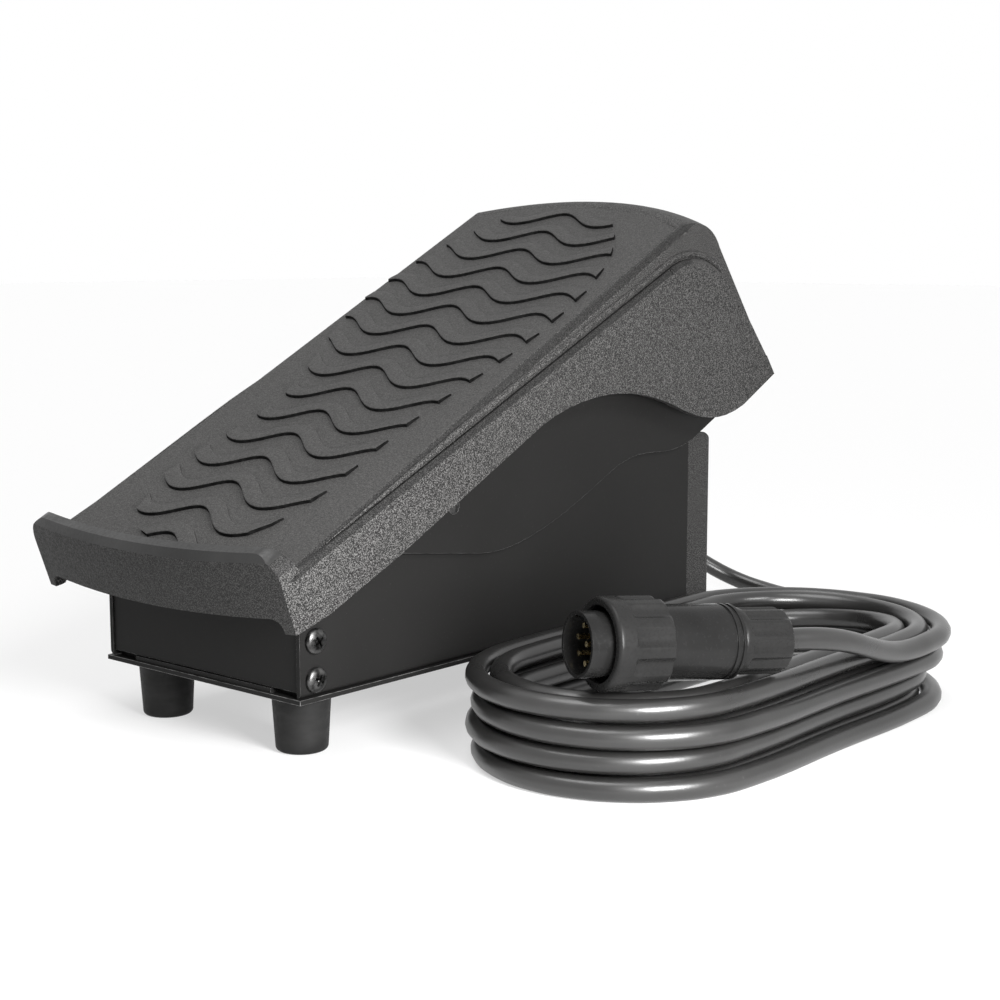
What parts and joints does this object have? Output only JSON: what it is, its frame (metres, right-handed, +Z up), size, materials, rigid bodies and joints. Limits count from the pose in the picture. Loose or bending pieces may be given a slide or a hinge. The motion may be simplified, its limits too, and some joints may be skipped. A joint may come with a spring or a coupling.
{
  "type": "foot pedal control",
  "caption": "Welding foot pedal: ribbed tilting tread with heel lip and curved skirt on a steel box with tapered feet, coiled cable and round connector.",
  "frame": {"origin": "centre of the footprint of the pedal without its cable, on the floor", "axes": "+Z up, +Y towards the toe end, +X towards the side where the cable coil lies"},
  "size_m": [0.2312, 0.3427, 0.1754],
  "materials": {
    "cover_plastic": "fine spark-eroded texture, charcoal",
    "black_sheet": "satin black powder coat",
    "black_plastic": "satin",
    "rubber": "matt",
    "cable_rubber": "matt, slightly worn",
    "black_screw": "blackened steel",
    "steel": "zinc plated",
    "white_nylon": "natural nylon",
    "sensor_blue": "moulded",
    "contact_metal": "plated contacts"
  },
  "bodies": {
    "base": {"rear_cap": "cover_plastic", "chassis": "black_sheet", "front_panel": "black_sheet", "bottom_plate": "black_sheet", "hinge_bushes": "white_nylon", "rubber_feet": "rubber", "foot_screws": "steel", "foot_nuts": "steel", "side_screws": "black_screw", "cap_screws": "steel", "return_spring": "steel", "spring_seat_lower": "black_plastic", "pot_bracket": "steel", "potentiometer": "sensor_blue", "pot_nut": "steel", "switch_bracket": "steel", "microswitch": "black_plastic", "switch_screws": "steel", "gland_body": "black_plastic", "gland_nut": "black_plastic", "gland_locknut": "black_plastic", "strain_relief": "rubber", "cord_lead": "cable_rubber", "cord_coil": "cable_rubber", "cord_tail": "cable_rubber", "plug_barrel": "black_plastic", "plug_insert": "black_plastic", "plug_pins": "contact_metal", "back_nut": "black_plastic", "plug_seal": "rubber"},
    "pedal": {"pedal_cover": "cover_plastic", "pedal_frame": "black_sheet", "hinge_pin": "steel", "hinge_clips": "steel", "cover_screws": "steel", "stop_studs": "black_sheet", "sector_gear": "steel", "sector_rivets": "steel", "spring_seat_upper": "black_plastic"},
    "sensor_rotor": {"pot_shaft": "steel", "pinion": "white_nylon"},
    "switch_arm": {"switch_lever": "steel"},
    "plug_ring": {"coupling_ring": "black_plastic"}
  },
  "joints": [
    {"name": "pedal_tilt", "type": "hinge", "parent": "base", "child": "pedal", "pos_m": [0, -0.095, 0.066], "axis": [-1, 0, 0], "range_deg": [0, 15], "stiffness_Nm_per_rad": 11, "springref_deg": -8.59, "deforming": ["return_spring"]},
    {"name": "sensor_turn", "type": "hinge", "parent": "base", "child": "sensor_rotor", "pos_m": [0.0135, 0.00265, 0.066], "axis": [-1, 0, 0], "range_deg": [-180, 0]},
    {"name": "switch_arm_turn", "type": "hinge", "parent": "base", "child": "switch_arm", "pos_m": [-0.025, -0.047, 0.0775], "axis": [1, 0, 0], "range_deg": [0, 12.2]},
    {"name": "plug_ring_turn", "type": "hinge", "parent": "base", "child": "plug_ring", "pos_m": [0.137, -0.073, 0.044], "axis": [0.4104, 0.9088, -0.075], "continuous": true}
  ],
  "couplings": [
    {"joint": "sensor_turn", "follows": "pedal_tilt", "ratio": -12},
    {"joint": "switch_arm_turn", "follows": "pedal_tilt", "ratio": 0.807}
  ]
}
